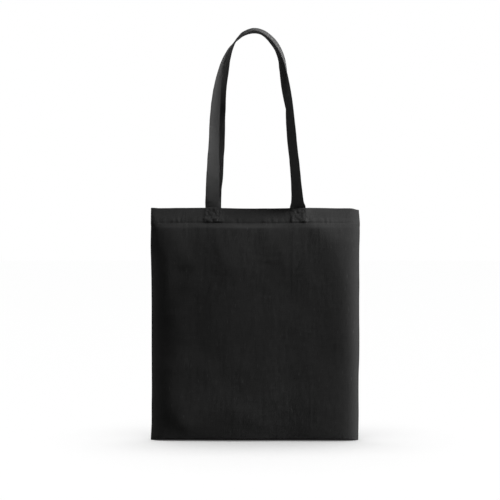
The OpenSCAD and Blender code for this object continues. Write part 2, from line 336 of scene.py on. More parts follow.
HEM_DRAW = 0.13                   # slope of the hem towards the mouth
HANG = 0.022                      # the cloth comes down from the hem to its full swell over this
GROOVE, GROOVE_HALF = 0.0004, 0.0016  # how far the row of stitches pulls in, and how wide
PUCKER, PUCKER_Z, PUCKER_REACH = 0.0007, 0.3965, 0.0045

# How far the cloth puffs out under the hem, how far down it is at its fullest, and where this is
# more or less across the bag: place, width and height
PUFF, PUFF_RISE = 0.0025, 0.0095
PUFF_PLACES = [(-0.030, 0.050, 0.0027), (0.062, 0.030, -0.0016)]


def hem_swell(side, x, z):
    """The stitched line below the mouth pulls in, the cloth puffs out under it and hangs from
    there, and the hem above it draws in towards the mouth."""
    seed = 90 + side
    above = z - HEM_STITCH_Z
    down = np.clip(-above, 0, 1)
    puff = PUFF + peaks(x, PUFF_PLACES) + 0.0004 * noise(x, z, 0.055, 0.2, seed + 20)
    rise = ramp((-above - 0.0006) / PUFF_RISE)
    out = 0.8 * puff * rise * (1 - 0.5 * ramp(down / 0.12))
    out += 0.0007 * noise(x, z, 0.0062, 0.05, seed) * rise * np.exp(-down / 0.012)
    out += (0.0022 + 0.0012 * (1 - ramp(down / 0.15))) * (1 - np.exp(-down / HANG)) - 0.0008
    out -= GROOVE * peak(above, 0, GROOVE_HALF)
    # the needle's small puckers run up from the line
    out += PUCKER * noise(x, z, 0.0042, 0.05, seed + 60) * peak(z, PUCKER_Z, PUCKER_REACH)
    out -= HEM_DRAW * past(above - 0.001, 0.002)
    out += 0.0004 * noise(x, z, 0.03, 0.03, seed + 40) * band(z, 0.400, 0.43, 0.008)
    return out * clear_of_sides(x, 8, SIDE_X)


LUMP_HALF_WIDTH, LUMP_HALF_HEIGHT = 0.0131, 0.0120  # what a sewn end lifts of the hem


def strap_relief(side, x, z):
    """The sewn ends of the straps stand out through the hem, and their stitches pull it in."""
    out = 0
    b = BOX_SIZE / 2
    line = 0.0009                 # half the width of the groove along a row of stitches
    for end in (LEFT, RIGHT):
        dx, dz = x - end * SPACING[side] / 2, z - (BAG_HEIGHT - STRAP_END / 2)
        lower = ramp((BAG_HEIGHT - z) / STRAP_END)
        wide = LUMP_HALF_WIDTH + 0.0012 * noise(x, z, 0.006, 0.006, 37 + end)
        lump = band(dx, -wide, wide + 0.0035 * lower, 0.0030)
        lump = lump * band(dz, -LUMP_HALF_HEIGHT, LUMP_HALF_HEIGHT, 0.0018)
        # the left end stands out more towards its lower edge than the right one
        out = out + (0.00065 + 0.0007 * (1 - end) / 2 * lower) * lump
        cross = sum(peak(d, 0, line) for d in (np.abs(dx - dz) * 0.707, np.abs(dx + dz) * 0.707))
        cross = cross * band(dx, -b, b, 0.001) * band(dz, -b, b, 0.001)
        box = peak(np.maximum(np.abs(dx), np.abs(dz)), b, line)
        out = out - 0.00012 * (1 + noise(x, z, 0.004, 0.004, 17 + end)) * (cross + box)
        out = out + (0.00058 - 0.00014 * end) * noise(x, z, 0.0038, 0.0042, 7 + end) * lump
        # the cloth round the box is puckered
        near = peak(np.abs(dx), 0.0150, 0.004) * band(dz, -0.0140, 0.0100, 0.003)
        out = out + 0.00034 * noise(x, z, 0.0048, 0.016, 27 + end) * near
    return out


# Where the bag's sides fall back, or come forward where the slope is below 0: the end, the slope,
# how soft its edge is, and the edge's line up the bag as height and place across, in millimetres
CORNER_TURNS = [
    (RIGHT, 0.16, 5, [(60, 182), (200, 176), (265, 166), (318, 150), (361, 137), (383, 114),
                      (402, 95), (420, 94)]),
    (LEFT, 0.24, 7, [(0, -140), (20, -146), (62, -156), (92, -158), (130, -158), (150, -146),
                     (172, -142), (206, -145), (228, -158), (290, -166), (345, -182),
                     (420, -190)]),
    (LEFT, -0.36, 5, [(0, -230), (310, -230), (338, -176), (420, -172)]),
    (LEFT, -0.60, 4, [(0, -230), (320, -230), (350, -181), (420, -179)]),
]

EDGE_SKEW = 0.85                  # such an edge is nearer than it is straight across
UPRIGHT = 0.035                   # the lean sets in over this, from the floor up
HEM_LEAN = 0.20                   # slope at which both hems lean back

# The share of that slope across the bag: place in millimetres and share
HEM_LEANS = [(-190, 1.15), (-112, 1.15), (-104, 1.20), (-88, 1.42), (-80, 1.48), (-66, 1.50),
             (28, 1.45), (36, 1.40), (54, 1.05), (62, 0.97), (88, 0.97), (91, 1.03), (101, 1.64),
             (104, 1.80), (140, 2.18), (190, 2.2)]


def lean(x, z):
    """How far back the whole bag leans at a place, the same for both panels."""
    out = HEM_LEAN * read_line(x, HEM_LEANS) * past(z - HEM_STITCH_Z, 0.003)
    for end, slope, soft, line in CORNER_TURNS:
        beyond = EDGE_SKEW * end * (x - read_line(z, line) / 1000)
        out = out + slope * past(beyond, soft / 1000)
    return out * ramp(z / UPRIGHT)


# The mouth's edge is drawn up at the straps and hangs a little between them: place, width, height
MOUTH_PLACES = [(-0.085, 0.045, 0.0005), (0.100, 0.045, 0.0005), (0.0, 0.045, -0.0007)]
MOUTH_CORNER = 0.014              # its two ends turn down or up over this
MOUTH_FROM, MOUTH_OVER = 0.36, 0.055  # the cloth follows its edge from this height, over this


def mouth_rise(x):
    """How far the mouth's edge is drawn up at a place across."""
    left, right = ramp((-0.172 - x) / MOUTH_CORNER), ramp((x - 0.174) / MOUTH_CORNER)
    up = peaks(x, MOUTH_PLACES) + 0.00035 * noise(x, x * 0, 0.022, 1, 31)
    return up - 0.0022 * right + 0.0009 * left


# How far each side seam stands out from a straight line, by height, in millimetres
SIDE_LINES = {
    LEFT: [(0, 1.5), (14, 1.0), (30, 0.5), (60, 0.4), (90, -0.15), (130, 0.0), (165, 0.45),
           (205, 0.40), (238, 0.10), (290, 0.5), (335, 1.4), (365, 1.1), (390, 0.45), (412, 0.6)],
    RIGHT: [(0, -2.1), (20, -1.7), (45, -1.3), (85, -1.7), (120, -1.6), (142, -0.6), (165, -0.2),
            (195, -0.2), (220, -0.5), (258, -0.4), (280, 0.15), (310, -0.1), (345, 0.15),
            (378, 1.6), (390, 1.3), (401, 1.8), (412, 0.8)],
}


def side_drift(x, z):
    """The side seams aren't quite straight: where they stand out or are drawn in."""
    left, right = (read_line(z, SIDE_LINES[end], 0.008) / 1000 for end in (LEFT, RIGHT))
    return (1 - clear_of_sides(x, 10)) * np.where(x < 0, -left, right)


BOTTOM_LIFT = 0.0028              # how far the panels' lower edges curve up from the floor
BOTTOM_CURVE = 0.010
FADE = 0.07                       # this far above the mouth, the handles follow the cloth no more


def settle(points, side, proud=0):
    """Takes points from the plain form to the settled cloth, which stands proud by so much more
    in places. On the handles this fades away above the mouth."""
    points = np.asarray(points, float)
    x, y, z = points[..., 0], points[..., 1], points[..., 2]
    low = np.clip(z, 0, BAG_HEIGHT)
    held = 1 - ramp((z - BAG_HEIGHT) / FADE)
    share = np.clip(side * y / outer_y(x, low), 0, 1)
    out = swell(side, x, low) * (1 - (1 - share) * (1 - ramp(z / 0.005))) + proud
    y = y + side * out * held + lean(x, low) * held
    z = z + BOTTOM_LIFT * share ** 2 * np.exp(-low / BOTTOM_CURVE) * clear_of_sides(x, 14)
    z = z + mouth_rise(x) * ramp((z - MOUTH_FROM) / MOUTH_OVER) * held
    return np.stack([x + side_drift(x, low) * held, y, z], -1)


# ---- Meshes ----

def add_piece(name, points, faces):
    """A new piece of the bag from its points and faces."""
    mesh = bpy.data.meshes.new(name)
    mesh.from_pydata([tuple(p) for p in points], [], [tuple(f) for f in faces])
    mesh.validate()
    mesh.shade_smooth()
    return add_object(name, mesh)


def put_values(piece, name, values, kind="FLOAT"):
    """Keeps one number or direction for each of a piece's points."""
    layer = piece.data.attributes.new(name, kind, "POINT")
    key = "value" if kind == "FLOAT" else "vector"
    layer.data.foreach_set(key, np.asarray(values, np.float32).ravel())


def put_cut_map(piece, flat):
    """Lays the piece out as it was cut, in metres, so that the weave follows the cloth."""
    layer = piece.data.uv_layers.new(name="cut")
    corners = np.zeros(len(piece.data.loops), int)
    piece.data.loops.foreach_get("vertex_index", corners)
    layer.data.foreach_set("uv", np.asarray(flat, np.float32)[corners].ravel())


def as_plain_mesh(piece):
    """Turns what a piece's modifiers make into its own mesh."""
    bpy.context.view_layer.update()
    evaluated = piece.evaluated_get(bpy.context.evaluated_depsgraph_get())
    made, old = bpy.data.meshes.new_from_object(evaluated), piece.data
    piece.modifiers.clear()
    piece.data = made
    bpy.data.meshes.remove(old)


def mend_mesh(piece, mend):
    """Passes a piece's mesh through one mending step."""
    form = bmesh.new()
    form.from_mesh(piece.data)
    mend(form)
    form.to_mesh(piece.data)
    form.free()


def drop_loose_points(form):
    """Removes the points that no face uses."""
    bmesh.ops.delete(form, geom=[v for v in form.verts if not v.link_faces], context="VERTS")


def turn_faces_out(form):
    bmesh.ops.recalc_face_normals(form, faces=form.faces)


# ---- Node trees ----

def new_tree(name, kind, inputs, outputs, output_kind="Float"):
    """An empty tree with named inputs and outputs, and the node that gives its inputs. An input
    has a first value, or the name of its kind of socket."""
    tree = bpy.data.node_groups.new(name, kind)
    for label, value in inputs.items():
        socket_kind = value if isinstance(value, str) else type(value).__name__.title()
        socket = tree.interface.new_socket(
            label, in_out="INPUT", socket_type="NodeSocket" + socket_kind)
        if value != socket_kind:
            socket.default_value = value
    for label in outputs:
        tree.interface.new_socket(
            label, in_out="OUTPUT", socket_type="NodeSocket" + output_kind)
    return tree, tree.nodes.new("NodeGroupInput")


def fill(tree, node, inputs):
    """Gives a node's inputs, by name or number, a value or a link to another node."""
    for key, value in inputs.items():
        if isinstance(value, bpy.types.NodeSocket):
            tree.links.new(value, node.inputs[key])
        else:
            node.inputs[key].default_value = value


def add_node(tree, kind, inputs, **settings):
    """A new node with its settings and its inputs."""
    node = tree.nodes.new(kind)
    for key, value in settings.items():
        setattr(node, key, value)
    fill(tree, node, inputs)
    return node


def add_math(tree, operation, *values):
    return add_node(tree, "ShaderNodeMath", dict(enumerate(values)), operation=operation).outputs[0]


def add_noise(tree, place, scale, detail, stretch=None, turn=0, roughness=0.5):
    """Random patches from 0 to 1, which can be turned and drawn out along one way."""
    if stretch:
        place = add_node(tree, "ShaderNodeMapping", {
            "Vector": place, "Rotation": (0, 0, turn), "Scale": stretch}).outputs[0]
    return add_node(tree, "ShaderNodeTexNoise", {
        "Vector": place, "Scale": scale, "Detail": detail, "Roughness": roughness}).outputs["Fac"]


# ---- Materials ----

def make_weave():
    """Plain weave: warp and weft threads pass over and under each other, and no two are quite as
    thick. It puts out a height; a painted shade that is 0 in the gaps and 1 on the threads'
    crests, which makes the colour darker in the gaps and lighter on the crests; how thick the
    threads are at a place; and the streaks that the thicker ones make."""
    tree, given = new_tree(
        "plain_weave", "ShaderNodeTree", {"Cut": "Vector", "Pitch": 0.0007, "Slub": 0.5},
        ("Height", "Crest Shade", "Slub", "Streaks"))
    do, cut = partial(add_math, tree), given.outputs["Cut"]
    split = add_node(tree, "ShaderNodeSeparateXYZ", {0: cut})
    waves, slubs = [], []
    for axis, stretch in ((0, (1, 0.05, 1)), (1, (0.05, 1, 1))):
        place = do("DIVIDE", split.outputs[axis], given.outputs["Pitch"])
        waves.append(do("SINE", do("MULTIPLY", place, pi)))
        slubs.append(add_noise(tree, cut, scale=900, detail=2, stretch=stretch, roughness=0.65))
    over_warp = do("GREATER_THAN", do("MULTIPLY", *waves), 0.0)
    rounds = [do("ABSOLUTE", wave) for wave in waves]
    warp, weft = (do("MULTIPLY", rounds[k], do("MULTIPLY_ADD", rounds[1 - k], 0.45, 0.55))
                  for k in (0, 1))
    # the threads are painted lighter on their crests and darker in the gaps between them, a painted
    # shade
    tone_and_shade = do("ADD", do("MULTIPLY", warp, over_warp),
              do("MULTIPLY", weft, do("SUBTRACT", 1.0, over_warp)))
    slub = do("SUBTRACT", do("ADD", *slubs), 1.0)

    # streaks along both threads, which come in broad patches
    streaks = [do("SUBTRACT", add_noise(tree, cut, scale, 1, stretch), 0.5) for scale, stretch in (
        (210, (1, 0.22, 1)), (170, (0.35, 1, 1)), (34, (1, 0.6, 1)))]
    both = do("MULTIPLY_ADD", streaks[1], 0.6, streaks[0])
    patches = do("MAXIMUM", do("MULTIPLY_ADD", streaks[2], 5.0, 0.6), 0.15)
    add_node(tree, "NodeGroupOutput", {
        "Height": do("ADD", tone_and_shade, do("MULTIPLY", slub, given.outputs["Slub"])),
        "Crest Shade": tone_and_shade, "Slub": do("ADD", slub, 0.5), "Streaks": do("MULTIPLY", both, patches)})
    return tree


def make_lint():
    """Loose fibres and dust: sparse short marks, a little lighter than the cloth."""
    tree, given = new_tree("lint", "ShaderNodeTree", {"Cut": "Vector", "Amount": 0.5}, ("Mask",))
    masks = []
    for turn, scale in ((0.4, 260), (1.9, 340)):
        fibres = add_noise(tree, given.outputs["Cut"], scale, 3, (1, 0.22, 1), turn)
        masks.append(add_node(tree, "ShaderNodeMapRange", {
            "Value": fibres, "From Min": 0.66, "From Max": 0.78}).outputs[0])
    mask = add_math(tree, "MAXIMUM", *masks)
    add_node(tree, "NodeGroupOutput",
             {"Mask": add_math(tree, "MULTIPLY", mask, given.outputs["Amount"])})
    return tree


WEAVE = make_weave()
LINT = make_lint()
WEAVE_PITCH = 0.00075
WEAVE_RELIEF = 0.55


def blend_colours(tree, factor, a, b):
    """From a where the factor is 0 to b where it is 1. A Mix node's colours are its sockets 6
    and 7, and what they make is its output 2."""
    return add_node(tree, "ShaderNodeMix", {0: factor, 6: a, 7: b}, data_type="RGBA").outputs[2]


def grey(value):
    return (value, value, value, 1)


def new_material(name):
    """A new material, its tree and its shader."""
    material = bpy.data.materials.new(name)
    material.use_nodes = True
    return material, material.node_tree, material.node_tree.nodes["Principled BSDF"]


def make_canvas(name, dark, light, worn, sheen):
    """Black cotton canvas: woven threads with painted shade in their gaps, slow random changes in
    its colour, rubbed edges and lint.
    """
    material, tree, shader = new_material(name)
    do = partial(add_math, tree)
    cut = add_node(tree, "ShaderNodeUVMap", {}, uv_map="cut").outputs[0]
    place = tree.nodes.new("ShaderNodeTexCoord").outputs["Object"]
    weave = add_node(tree, "ShaderNodeGroup", {"Cut": cut, "Pitch": WEAVE_PITCH, "Slub": 0.6},
                     node_tree=WEAVE)
    lint = add_node(tree, "ShaderNodeGroup", {"Cut": cut, "Amount": 0.35}, node_tree=LINT)

    # the weave's crests are painted lighter and its gaps darker, a painted shade; the slubs and the
    # broad clouds are the cloth's own random colour
    tone_and_shade = do("MULTIPLY_ADD", weave.outputs["Crest Shade"], 0.45, 0.10)
    tone_and_shade = do("SUBTRACT", do("MULTIPLY_ADD", weave.outputs["Slub"], 0.45, tone_and_shade), 0.17)
    cloud = add_noise(tree, place, scale=14, detail=4)
    tone_and_shade = do("MULTIPLY_ADD", cloud, 0.35, tone_and_shade)
    wear = add_node(tree, "ShaderNodeAttribute", {}, attribute_name="wear").outputs["Fac"]
    rub = add_noise(tree, place, scale=260, detail=3)
    rubbed = do("MULTIPLY", wear, do("MULTIPLY_ADD", rub, 1.6, -0.2))
    colour = blend_colours(tree, tone_and_shade, grey(dark), grey(light))
    colour = blend_colours(tree, rubbed, colour, grey(worn))
    colour = blend_colours(tree, lint.outputs["Mask"], colour, grey(worn * 1.3))
    uneven = add_node(tree, "ShaderNodeBump", {
        "Strength": 1.0, "Distance": 0.00024, "Height": weave.outputs["Streaks"]})
    relief = add_node(tree, "ShaderNodeBump", {
        "Strength": WEAVE_RELIEF, "Distance": 0.00022, "Height": weave.outputs["Height"],
        "Normal": uneven.outputs[0]})
    fill(tree, shader, {
        "Base Color": colour, "Normal": relief.outputs[0],
        "Roughness": do("MULTIPLY_ADD", weave.outputs["Crest Shade"], -0.08, 0.9),
        "Specular IOR Level": 0.07, "Sheen Weight": sheen, "Sheen Roughness": 0.45,
        "Sheen Tint": grey(1)})
    return material


def make_thread(name, dark, light):
    """Twisted black sewing thread, a little smoother than the cloth. Its colour is painted lighter
    on the twist's ridges and darker in its grooves, a painted shade.
    """
    material, tree, shader = new_material(name)
    place = tree.nodes.new("ShaderNodeTexCoord").outputs["Object"]
    turned = add_node(tree, "ShaderNodeMapping", {"Vector": place, "Rotation": (0.5, 0.9, 0.3)})
    twist = add_node(tree, "ShaderNodeTexWave", {
        "Vector": turned.outputs[0], "Scale": 900, "Distortion": 1.5}).outputs["Fac"]
    relief = add_node(tree, "ShaderNodeBump",
                      {"Strength": 0.5, "Distance": 0.0001, "Height": twist})
    # the base colour follows the twist's bump: painted lighter on its ridges and darker in its
    # grooves, a painted shade
    fill(tree, shader, {
        "Base Color": blend_colours(tree, twist, grey(dark), grey(light)),
        "Roughness": add_math(tree, "MULTIPLY_ADD", twist, -0.1, 0.65),
        "Normal": relief.outputs[0], "Specular IOR Level": 0.3, "Sheen Weight": 0.1})
    return material


black_canvas = make_canvas("black_canvas", dark=0.0155, light=0.0325, worn=0.055, sheen=0.03)
strap_canvas = make_canvas("strap_canvas", dark=0.033, light=0.066, worn=0.050, sheen=0.01)
sewing_thread = make_thread("black_sewing_thread", dark=0.016, light=0.038)
overlock_thread = make_thread("black_overlock_thread", dark=0.014, light=0.034)


# ---- Panels ----

def spaced(start, end, step):
    """Places from start to end, about a step apart."""
    return list(np.linspace(start, end, max(2, int(round(abs(end - start) / step)) + 1)))


def spaced_parts(*parts):
    """Places through parts that follow each other, each with its own (start, end, step)."""
    return [place for part in parts[:-1] for place in spaced(*part)[:-1]] + spaced(*parts[-1])


# How a panel is divided into rows and columns of points, in metres and shares of a turn
COARSE, FINE, NEAR_SIDE = 0.0019, 0.0011, 0.0013
FINE_REACH = 0.0150               # on either side of a sewn strap end's middle
NEAR_SIDE_X = 0.162
FLOOR_ROWS = ("bottom_allowance", "bottom_turn", "floor", "corner")
INSIDE_ROWS = ("hem", "hem_fold", "under", "bottom_allowance", "bottom_turn")
QUARTERS = (0.0, 0.25, 0.5, 0.75)
THIRDS = (0.0, 0.33, 0.66, 1.0)
TURN_STEPS = 5
RELIEF_FROM = 0.385               # the strap ends' relief begins above this height
BOTTOM_SEAM_REACH = 0.177


def panel_rows():
    """The rows of a panel from its raw edge at the bottom, over the mouth, to the raw edge that
    the hem turns under. Each is a part of the panel, and a height or a share of a turn."""
    hem_start = HEM_BOTTOM + LAYER
    face = spaced_parts((0.0032, 0.014, 0.0018), (0.014, 0.372, 0.0037), (0.372, FACE_TOP, 0.00115))
    places = {
        "bottom_allowance": (1.0, 0.5, 0.0), "bottom_turn": (0.33, 0.67), "floor": QUARTERS,
        "corner": QUARTERS + (1.0,), "face": face, "fold": (0.2, 0.4, 0.6, 0.8),
        "hem": spaced(FACE_TOP, hem_start, 0.0022), "hem_fold": (0.33, 0.67),
        "under": spaced(hem_start, HEM_BOTTOM + TURNED_UNDER, 0.003)}
    return [(kind, place) for kind, run in places.items() for place in run]


def panel_columns(side):
    """The columns of a panel between the raw edges of its side seams, closer together where the
    strap ends are sewn and near the sides. Each is a part of the panel, the end of the bag that
    it belongs to, and a place across or a share of a turn."""
    inner, outer = SPACING[side] / 2 - FINE_REACH, SPACING[side] / 2 + FINE_REACH
    half = spaced_parts((0, inner, COARSE), (inner, outer, FINE), (outer, NEAR_SIDE_X, COARSE),
                        (NEAR_SIDE_X, SIDE_X, NEAR_SIDE))
    turns = np.linspace(0, 1, TURN_STEPS + 2)[1:-1]
    columns = [("allowance", LEFT, t) for t in THIRDS[::-1]]
    columns += [("turn", LEFT, t) for t in turns[::-1]]
    columns += [("panel", 0, x) for x in [-x for x in half[:0:-1]] + half]
    columns += [("turn", RIGHT, t) for t in turns]
    return columns + [("allowance", RIGHT, t) for t in THIRDS]


def profile_point(kind, t, x):
    """How far a row of a panel lies from the bag's middle, and its height, at a place across."""
    angle = pi * t
    if kind in FLOOR_ROWS:
        # the corner is tighter near the sides, where the bag is thin
        radius = min(BOTTOM_RADIUS, 0.7 * (float(outer_y(x, 0.0)) - 0.0009))
        corner_y = float(outer_y(x, radius)) - radius
        inner = max(radius - HALF_T, 0.00005)
        return {
            "bottom_allowance": (SEAM_Y, HALF_T + SEAM_Y + (SEAM_ALLOWANCE - SEAM_Y) * t),
            "bottom_turn": (SEAM_Y * (2 - cos(angle / 2)),
                            HALF_T + SEAM_Y * (1 - sin(angle / 2))),
            "floor": (2 * SEAM_Y + (corner_y - 2 * SEAM_Y) * t, HALF_T),
            "corner": (corner_y + inner * sin(angle / 2), radius - inner * cos(angle / 2)),
        }[kind]
    height = {"fold": FACE_TOP, "hem_fold": HEM_BOTTOM + LAYER}.get(kind, t)
    edge = hem_edge(FACE_TOP if kind == "hem_fold" else height)
    middle = float(outer_y(x, height, edge)) - HALF_T
    return {
        "face": (middle, height),
        "fold": (middle - LAYER * (1 - cos(angle)), height + LAYER * sin(angle)),
        "hem": (middle - 2 * LAYER, height),
        "hem_fold": (middle - LAYER * (1.5 + cos(angle) / 2), height - LAYER / 2 * sin(angle)),
        "under": (middle - LAYER, height),
    }[kind]


def panel_point(row, column):
    """A point of a panel's plain form: across, out from the bag's middle, and up."""
    (kind, t), (part, end, at) = row, column
    if part == "panel":
        return at, *profile_point(kind, t, at)
    y, z = profile_point(kind, t, end * SIDE_X)
    if part == "allowance":
        return end * (SIDE_X - SEAM_ALLOWANCE * at), SEAM_Y, z
    radius = max((y - SEAM_Y) / 2, 0.00001)
    shrink = 1 - LAYER * (1 - cos(pi * t)) / 0.002 if kind == "fold" else 1
    return (end * (SIDE_X + radius * shrink * sin(pi * at)),
            SEAM_Y + radius * (1 + cos(pi * at)), z)


def is_cloth(row, next_row, parts, x):
    """Whether a panel has cloth between two rows and two columns. The side seams' allowances run
    up the face alone, and the hem and the bottom's allowance stop short of the sides."""
    kind, t = row
    if "allowance" in parts and (kind != "face" or next_row[0] != "face" or t < SEAM_START):
        return False
    if "turn" in parts and (kind in INSIDE_ROWS or kind == "fold" and t > 0.5):
        return False
    return kind not in ("bottom_allowance", "bottom_turn") or abs(x) <= BOTTOM_SEAM_REACH


def panel_sheet(side):
    """One panel as a sheet of cloth without thickness: up from the bottom seam, over the mouth
    and down as the hem, and round both side seams to their pressed allowances. It gives the
    points, the faces, the flat cut, and how worn the cloth is."""
    rows, columns = panel_rows(), panel_columns(side)
    points = np.array([[panel_point(row, column) for column in columns] for row in rows])
    points[..., 1] *= side

    # the relief of the strap ends is on the face and over the mouth's fold
    has_relief = np.outer([kind in ("face", "fold") for kind, _ in rows],
                          [part == "panel" for part, _, _ in columns])
    has_relief &= points[..., 2] > RELIEF_FROM
    proud = np.where(has_relief, strap_relief(side, points[..., 0], points[..., 2]), 0)

    # the mouth's edge, the bottom corner and the turned sides are rubbed
    row_wear = [{"fold": 1, "corner": 0.5, "face": 0.8 * peak(t, BAG_HEIGHT, 0.0012)}.get(kind, 0)
                for kind, t in rows]
    column_wear = [0.6 * sin(pi * at) if part == "turn" else 0 for part, _, at in columns]
    wear = np.maximum.outer(row_wear, column_wear)

    across = lengths_along(points[len(rows) // 2])
    up = lengths_along(points[:, len(columns) // 2])
    flat = np.stack(np.meshgrid(across - across[-1] / 2, up), -1)

    faces = []
    n = len(columns)
    for i in range(len(rows) - 1):
        for j in range(n - 1):
            parts = columns[j][0], columns[j + 1][0]
            if is_cloth(rows[i], rows[i + 1], parts, points[i, j, 0]):
                a, b = i * n + j, (i + 1) * n + j
                faces.append((a, a + 1, b + 1, b)[::-side])
    settled = settle(points, side, proud)
    settled[..., 2] = np.maximum(settled[..., 2], LOWEST)
    return settled.reshape(-1, 3), faces, flat.reshape(-1, 2), wear.ravel()


panels = {}
for side, side_name in SIDES.items():
    points, faces, flat, wear = panel_sheet(side)
    panel = panels[side] = add_piece(side_name + "_cloth", points, faces)
    put_values(panel, "wear", wear)
    put_cut_map(panel, flat)
    mend_mesh(panel, drop_loose_points)
    solid = panel.modifiers.new("thickness", "SOLIDIFY")
    solid.thickness, solid.offset, solid.use_even_offset = CLOTH_T, 0.0, True
    as_plain_mesh(panel)
    panel.data.materials.append(black_canvas)


# ---- Straps ----

ROUTE_STEPS = 12                  # points from one row of a route to the next
END_STEPS = 14                    # points along a sewn end
STRAP_RINGS = 420                 # rings of points along a whole strap
RING_POINTS = 34
FOOT, FOOT_BEND = 0.006, 0.012    # a strap leaves the bag straight up, and then bends over this
STIFF = 0.04                      # its curl and ripples grow to their full size over this


def smooth_rows(rows, steps):
    """A smooth curve through rows of numbers."""
    rows = np.asarray(rows, float)
    made = []
    last = len(rows) - 1
    for i in range(last):
        a, b, c, d = rows[max(i - 1, 0)], rows[i], rows[i + 1], rows[min(i + 2, last)]
        for k in range(steps):
            t = k / steps
            made.append(b + (c - a) * t / 2 + (2 * a - 5 * b + 4 * c - d) * t * t / 2
                        + (3 * b - a - 3 * c + d) * t ** 3 / 2)
    made.append(rows[last])
    return np.array(made)


def unit(directions):
    return directions / np.linalg.norm(directions, axis=-1)[..., None]


class Strap:
    """The line of one handle with both its sewn ends, and the strap's directions along it."""

    def __init__(self, side):
        half, rise = SPACING[side] / 2, RISE[side]
        across, up, turn = smooth_rows(ROUTES[side], ROUTE_STEPS).T
        turn = np.radians(turn)
        out = side * np.hypot(float(strap_y(2 * half, BAG_HEIGHT)), HALF_STRAP * np.sin(turn))
        line = np.stack([across * half, out, BAG_HEIGHT + SEWN_GAP + up * rise], -1)
        z = np.linspace(BAG_HEIGHT - STRAP_END, BAG_HEIGHT, END_STEPS)
        left, right = (np.stack([np.full_like(z, end * half), side * strap_y(2 * half, z), z], -1)
                       for end in (LEFT, RIGHT))
        points = np.concatenate([left, line, right[::-1]])
        gone = lengths_along(points)
        self.side = side
        self.length = gone[-1]
        self.at = np.linspace(0, self.length, STRAP_RINGS)
        self.points = np.stack([np.interp(self.at, gone, points[:, k]) for k in range(3)], -1)
        turns = np.interp(self.at, gone, np.pad(turn, END_STEPS))

        foot = ramp((self.points[:, 2] - BAG_HEIGHT - FOOT) / FOOT_BEND)[:, None]
        straight = np.zeros_like(self.points)
        straight[:, 2] = np.where(self.at < self.length / 2, 1, -1)
        self.along = unit(unit(np.gradient(self.points, axis=0)) * foot + straight * (1 - foot))
        outward = unit(np.cross(self.along, (0, 1, 0)))
        edge_on = np.cross(self.along, outward) * -side
        self.wide = outward * np.cos(turns)[:, None] + edge_on * np.sin(turns)[:, None]
        self.face = np.cross(self.along, self.wide)

    def half_thickness(self, w, at):
        """Thinner along the two rows of stitches and puffed between them, rounded at the edges."""
        rows = peak(np.abs(w), HALF_STRAP - STITCH_INSET, 0.0008)
        rounded = np.sqrt(np.clip(1 - (np.abs(w) / HALF_STRAP) ** 18, 0, 1))
        pucker = noise(at, w, 0.0042, 0.004, 71 + self.side)
        return STRAP_T / 2 * rounded * (1.0 - 0.26 * rows + 0.10 * pucker)

    def place(self, at, w, t):
        """A point on the strap: along it, across it, and t from its middle towards its face. Its
        directions out of the face and along the strap come with it."""
        at, w, t = np.broadcast_arrays(np.asarray(at, float), w, t)
        middle, wide, face, along = (
            np.stack([np.interp(at, self.at, values[:, k]) for k in range(3)], -1)
            for values in (self.points, self.wide, self.face, self.along))
        free = ramp((middle[..., 2] - BAG_HEIGHT) / STIFF)
        share = w / HALF_STRAP
        curl = 0.0004 * noise(at, at * 0, 0.06, 1, 51 + self.side) * (share ** 2 - 0.35)
        edge = 0.00035 * noise(at, np.sign(w) * 0.5, 0.018, 1, 61 + self.side) * np.abs(share)
        ripple = 0.00022 * noise(at, w, 0.012, 0.012, 81 + self.side)
        place = middle + wide * (w + edge * free)[..., None]
        place = place + face * (t + (curl + ripple) * free)[..., None]
        return settle(place, self.side), face, along


def ring_cap(ring):
    """Closes the end of a strap: faces between the two sides of its last ring."""
    half = len(ring) // 2
    yield ring[0], ring[1], ring[-1]
    for j in range(2, half):
        yield ring[j - 1], ring[j], ring[-j], ring[1 - j]
    yield ring[half - 1], ring[half], ring[half + 1]


def strap_piece(name, strap):
    """A strap as a closed band: rings of points along its line, which go across its face and
    back across its other side."""
    count = RING_POINTS // 2
    w = -np.cos(np.linspace(0, pi, count + 1))
    w = np.sign(w) * np.abs(w) ** 0.8 * HALF_STRAP
    ring_w = np.concatenate([w, w[-2:0:-1]])
    at, w = np.meshgrid(strap.at, ring_w, indexing="ij")
    front = np.broadcast_to(np.arange(RING_POINTS) <= count, w.shape)
    points, _, _ = strap.place(at, w, strap.half_thickness(w, at) * np.where(front, 1, -1))

    n, last = RING_POINTS, STRAP_RINGS - 1
    faces = [(i * n + j, i * n + (j + 1) % n, (i + 1) * n + (j + 1) % n, (i + 1) * n + j)
             for i in range(last) for j in range(n)]
    faces += ring_cap(range(n))
    faces += [face[::-1] for face in ring_cap(range(last * n, (last + 1) * n))]
    piece = add_piece(name, points.reshape(-1, 3), faces)
    put_values(piece, "wear", 0.9 * peak(np.abs(w), HALF_STRAP, 0.0006))
    # the strap's other side is cut from beside its face
    round_trip = np.where(front, w, 2 * HALF_STRAP - w + 0.01)
    put_cut_map(piece, np.stack([round_trip, at], -1).reshape(-1, 2))
    mend_mesh(piece, turn_faces_out)
    piece.data.materials.append(strap_canvas)
    return piece


strap_lines = {side: Strap(side) for side in SIDES}
straps = {side: strap_piece(side_name + "_handle_strap", strap_lines[side])
          for side, side_name in SIDES.items()}


# ---- Thread ----

def combine(tree, x, y, z):
    return add_node(tree, "ShaderNodeCombineXYZ", {0: x, 1: y, 2: z}).outputs[0]


def tube(tree, curve, radius, sides, caps=True):
    """A round thread along a curve."""
    circle = add_node(tree, "GeometryNodeCurvePrimitiveCircle",
                      {"Resolution": sides, "Radius": radius})
    return add_node(tree, "GeometryNodeCurveToMesh", {
        "Curve": curve, "Profile Curve": circle.outputs[0], "Fill Caps": caps}).outputs[0]


